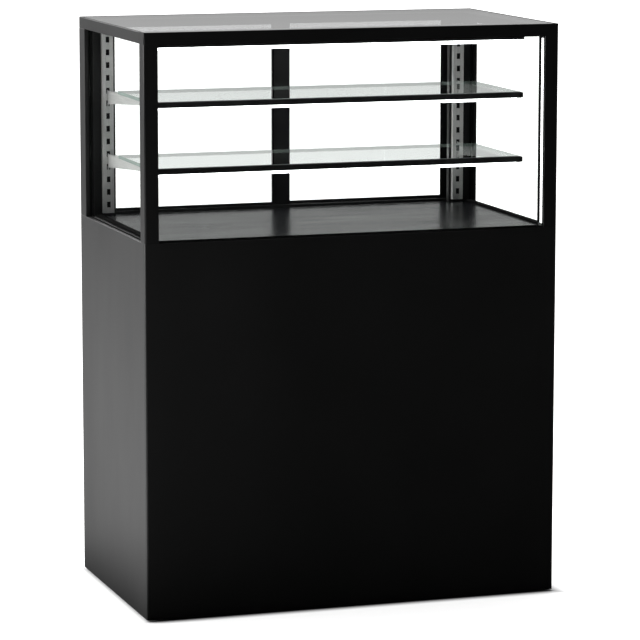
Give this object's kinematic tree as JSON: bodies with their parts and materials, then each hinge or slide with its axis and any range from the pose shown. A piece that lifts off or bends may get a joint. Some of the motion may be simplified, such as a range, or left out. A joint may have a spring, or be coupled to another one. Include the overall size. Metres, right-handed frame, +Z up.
{
  "type": "bakery display case",
  "caption": "Free-standing bakery display case: plain black base with cooling unit, glazed display with lit glass shelves, and sliding doors behind.",
  "frame": {"origin": "on the floor, under the middle of the case", "axes": "+Z up; the customer side with the front glass faces -Y, the staff side with the sliding doors faces +Y"},
  "size_m": [1, 0.575, 1.35],
  "materials": {
    "frame_black": "semi-gloss powder coat",
    "panel_black": "satin powder coat",
    "trim_black": "black anodised",
    "deck_black": "high gloss",
    "clear_glass": "clear toughened",
    "smoked_glass": "grey tinted toughened",
    "shelf_glass": "clear toughened, polished edge",
    "standard_steel": "satin stainless",
    "galvanised": "galvanised",
    "foot_black": "moulded",
    "control_plastic": "fine texture",
    "key_plastic": "smooth",
    "rocker_plastic": "smooth, translucent",
    "tub_steel": "coated sheet over foam",
    "coil_aluminium": "bare fins",
    "fan_aluminium": "pressed",
    "motor_black": "enamel",
    "compressor_black": "gloss enamel",
    "copper": "drawn copper",
    "tray_plastic": "moulded",
    "screw_steel": "zinc plated"
  },
  "bodies": {
    "cabinet": {"base_pan": "galvanised", "front_panel": "panel_black", "rear_service_panel": "panel_black", "rear_control_panel": "panel_black", "rear_sill": "frame_black", "thermostat": "control_plastic", "switch_housings": "control_plastic", "power_inlet": "control_plastic", "panel_screws": "screw_steel", "left_side_panel": "panel_black", "right_side_panel": "panel_black", "deck_rail_left": "galvanised", "deck_rail_right": "galvanised", "front_left_post": "frame_black", "front_right_post": "frame_black", "rear_left_post": "frame_black", "rear_right_post": "frame_black", "top_rail_left": "frame_black", "top_rail_right": "frame_black", "top_rail_front": "frame_black", "rear_header": "frame_black", "left_shelf_standard": "standard_steel", "right_shelf_standard": "standard_steel", "shelf_brackets": "standard_steel", "front_glass": "clear_glass", "left_side_glass": "clear_glass", "right_side_glass": "clear_glass", "top_glass": "smoked_glass", "top_light_housing": "trim_black", "insulated_tub": "tub_steel", "evaporator_coil": "coil_aluminium", "evaporator_fan_plate": "galvanised", "evaporator_fan_motor": "motor_black", "condenser_coil": "coil_aluminium", "condenser_fan_shroud": "galvanised", "condenser_fan_motor": "motor_black", "compressor": "compressor_black", "evaporation_tray": "tray_plastic", "refrigerant_pipes": "copper", "filter_drier": "copper"},
    "foot_front_left": {"foot_front_left": "foot_black"},
    "foot_front_right": {"foot_front_right": "foot_black"},
    "foot_rear_left": {"foot_rear_left": "foot_black"},
    "foot_rear_right": {"foot_rear_right": "foot_black"},
    "upper_shelf": {"upper_shelf_glass": "shelf_glass", "upper_shelf_trim": "trim_black"},
    "lower_shelf": {"lower_shelf_glass": "shelf_glass", "lower_shelf_trim": "trim_black"},
    "deck": {"deck_pan": "deck_black"},
    "left_door": {"left_door_frame": "trim_black", "left_door_glass": "clear_glass"},
    "right_door": {"right_door_frame": "trim_black", "right_door_glass": "clear_glass"},
    "evaporator_fan": {"evaporator_fan_rotor": "fan_aluminium"},
    "condenser_fan": {"condenser_fan_rotor": "fan_aluminium"},
    "set_key": {"button_set": "key_plastic"},
    "down_key": {"button_down": "key_plastic"},
    "up_key": {"button_up": "key_plastic"},
    "power_rocker": {"power_switch": "rocker_plastic"},
    "light_rocker": {"light_switch": "rocker_plastic"}
  },
  "joints": [
    {"name": "left_door_slide", "type": "slide", "parent": "cabinet", "child": "left_door", "axis": [1, 0, 0], "range_m": [0, 0.44]},
    {"name": "right_door_slide", "type": "slide", "parent": "cabinet", "child": "right_door", "axis": [-1, 0, 0], "range_m": [0, 0.44]},
    {"name": "upper_shelf_lift", "type": "slide", "parent": "cabinet", "child": "upper_shelf", "axis": [0, 0, 1], "range_m": [0, 0.05]},
    {"name": "lower_shelf_lift", "type": "slide", "parent": "cabinet", "child": "lower_shelf", "axis": [0, 0, 1], "range_m": [0, 0.05]},
    {"name": "deck_lift", "type": "slide", "parent": "cabinet", "child": "deck", "axis": [0, 0, 1], "range_m": [0, 0.06]},
    {"name": "evaporator_fan_spin", "type": "hinge", "parent": "cabinet", "child": "evaporator_fan", "pos_m": [0, 0.062, 0.715], "axis": [0, 1, 0], "continuous": true},
    {"name": "condenser_fan_spin", "type": "hinge", "parent": "cabinet", "child": "condenser_fan", "pos_m": [0.23, 0.186, 0.21], "axis": [0, 1, 0], "continuous": true},
    {"name": "foot_front_left_turn", "type": "hinge", "parent": "cabinet", "child": "foot_front_left", "pos_m": [-0.455, -0.2425, 0.02], "axis": [0, 0, 1], "continuous": true},
    {"name": "foot_front_right_turn", "type": "hinge", "parent": "cabinet", "child": "foot_front_right", "pos_m": [0.455, -0.2425, 0.02], "axis": [0, 0, 1], "continuous": true},
    {"name": "foot_rear_left_turn", "type": "hinge", "parent": "cabinet", "child": "foot_rear_left", "pos_m": [-0.455, 0.2425, 0.02], "axis": [0, 0, 1], "continuous": true},
    {"name": "foot_rear_right_turn", "type": "hinge", "parent": "cabinet", "child": "foot_rear_right", "pos_m": [0.455, 0.2425, 0.02], "axis": [0, 0, 1], "continuous": true},
    {"name": "set_key_press", "type": "slide", "parent": "cabinet", "child": "set_key", "axis": [0, -1, 0], "range_m": [0, 0.0008], "stiffness_N_per_m": 250, "springref_m": -0.0004},
    {"name": "down_key_press", "type": "slide", "parent": "cabinet", "child": "down_key", "axis": [0, -1, 0], "range_m": [0, 0.0008], "stiffness_N_per_m": 250, "springref_m": -0.0004},
    {"name": "up_key_press", "type": "slide", "parent": "cabinet", "child": "up_key", "axis": [0, -1, 0], "range_m": [0, 0.0008], "stiffness_N_per_m": 250, "springref_m": -0.0004},
    {"name": "power_rocker_tilt", "type": "hinge", "parent": "cabinet", "child": "power_rocker", "pos_m": [-0.21, 0.2805, 0.79], "axis": [1, 0, 0], "range_deg": [-14, 0]},
    {"name": "light_rocker_tilt", "type": "hinge", "parent": "cabinet", "child": "light_rocker", "pos_m": [-0.17, 0.2805, 0.79], "axis": [1, 0, 0], "range_deg": [-14, 0]}
  ]
}
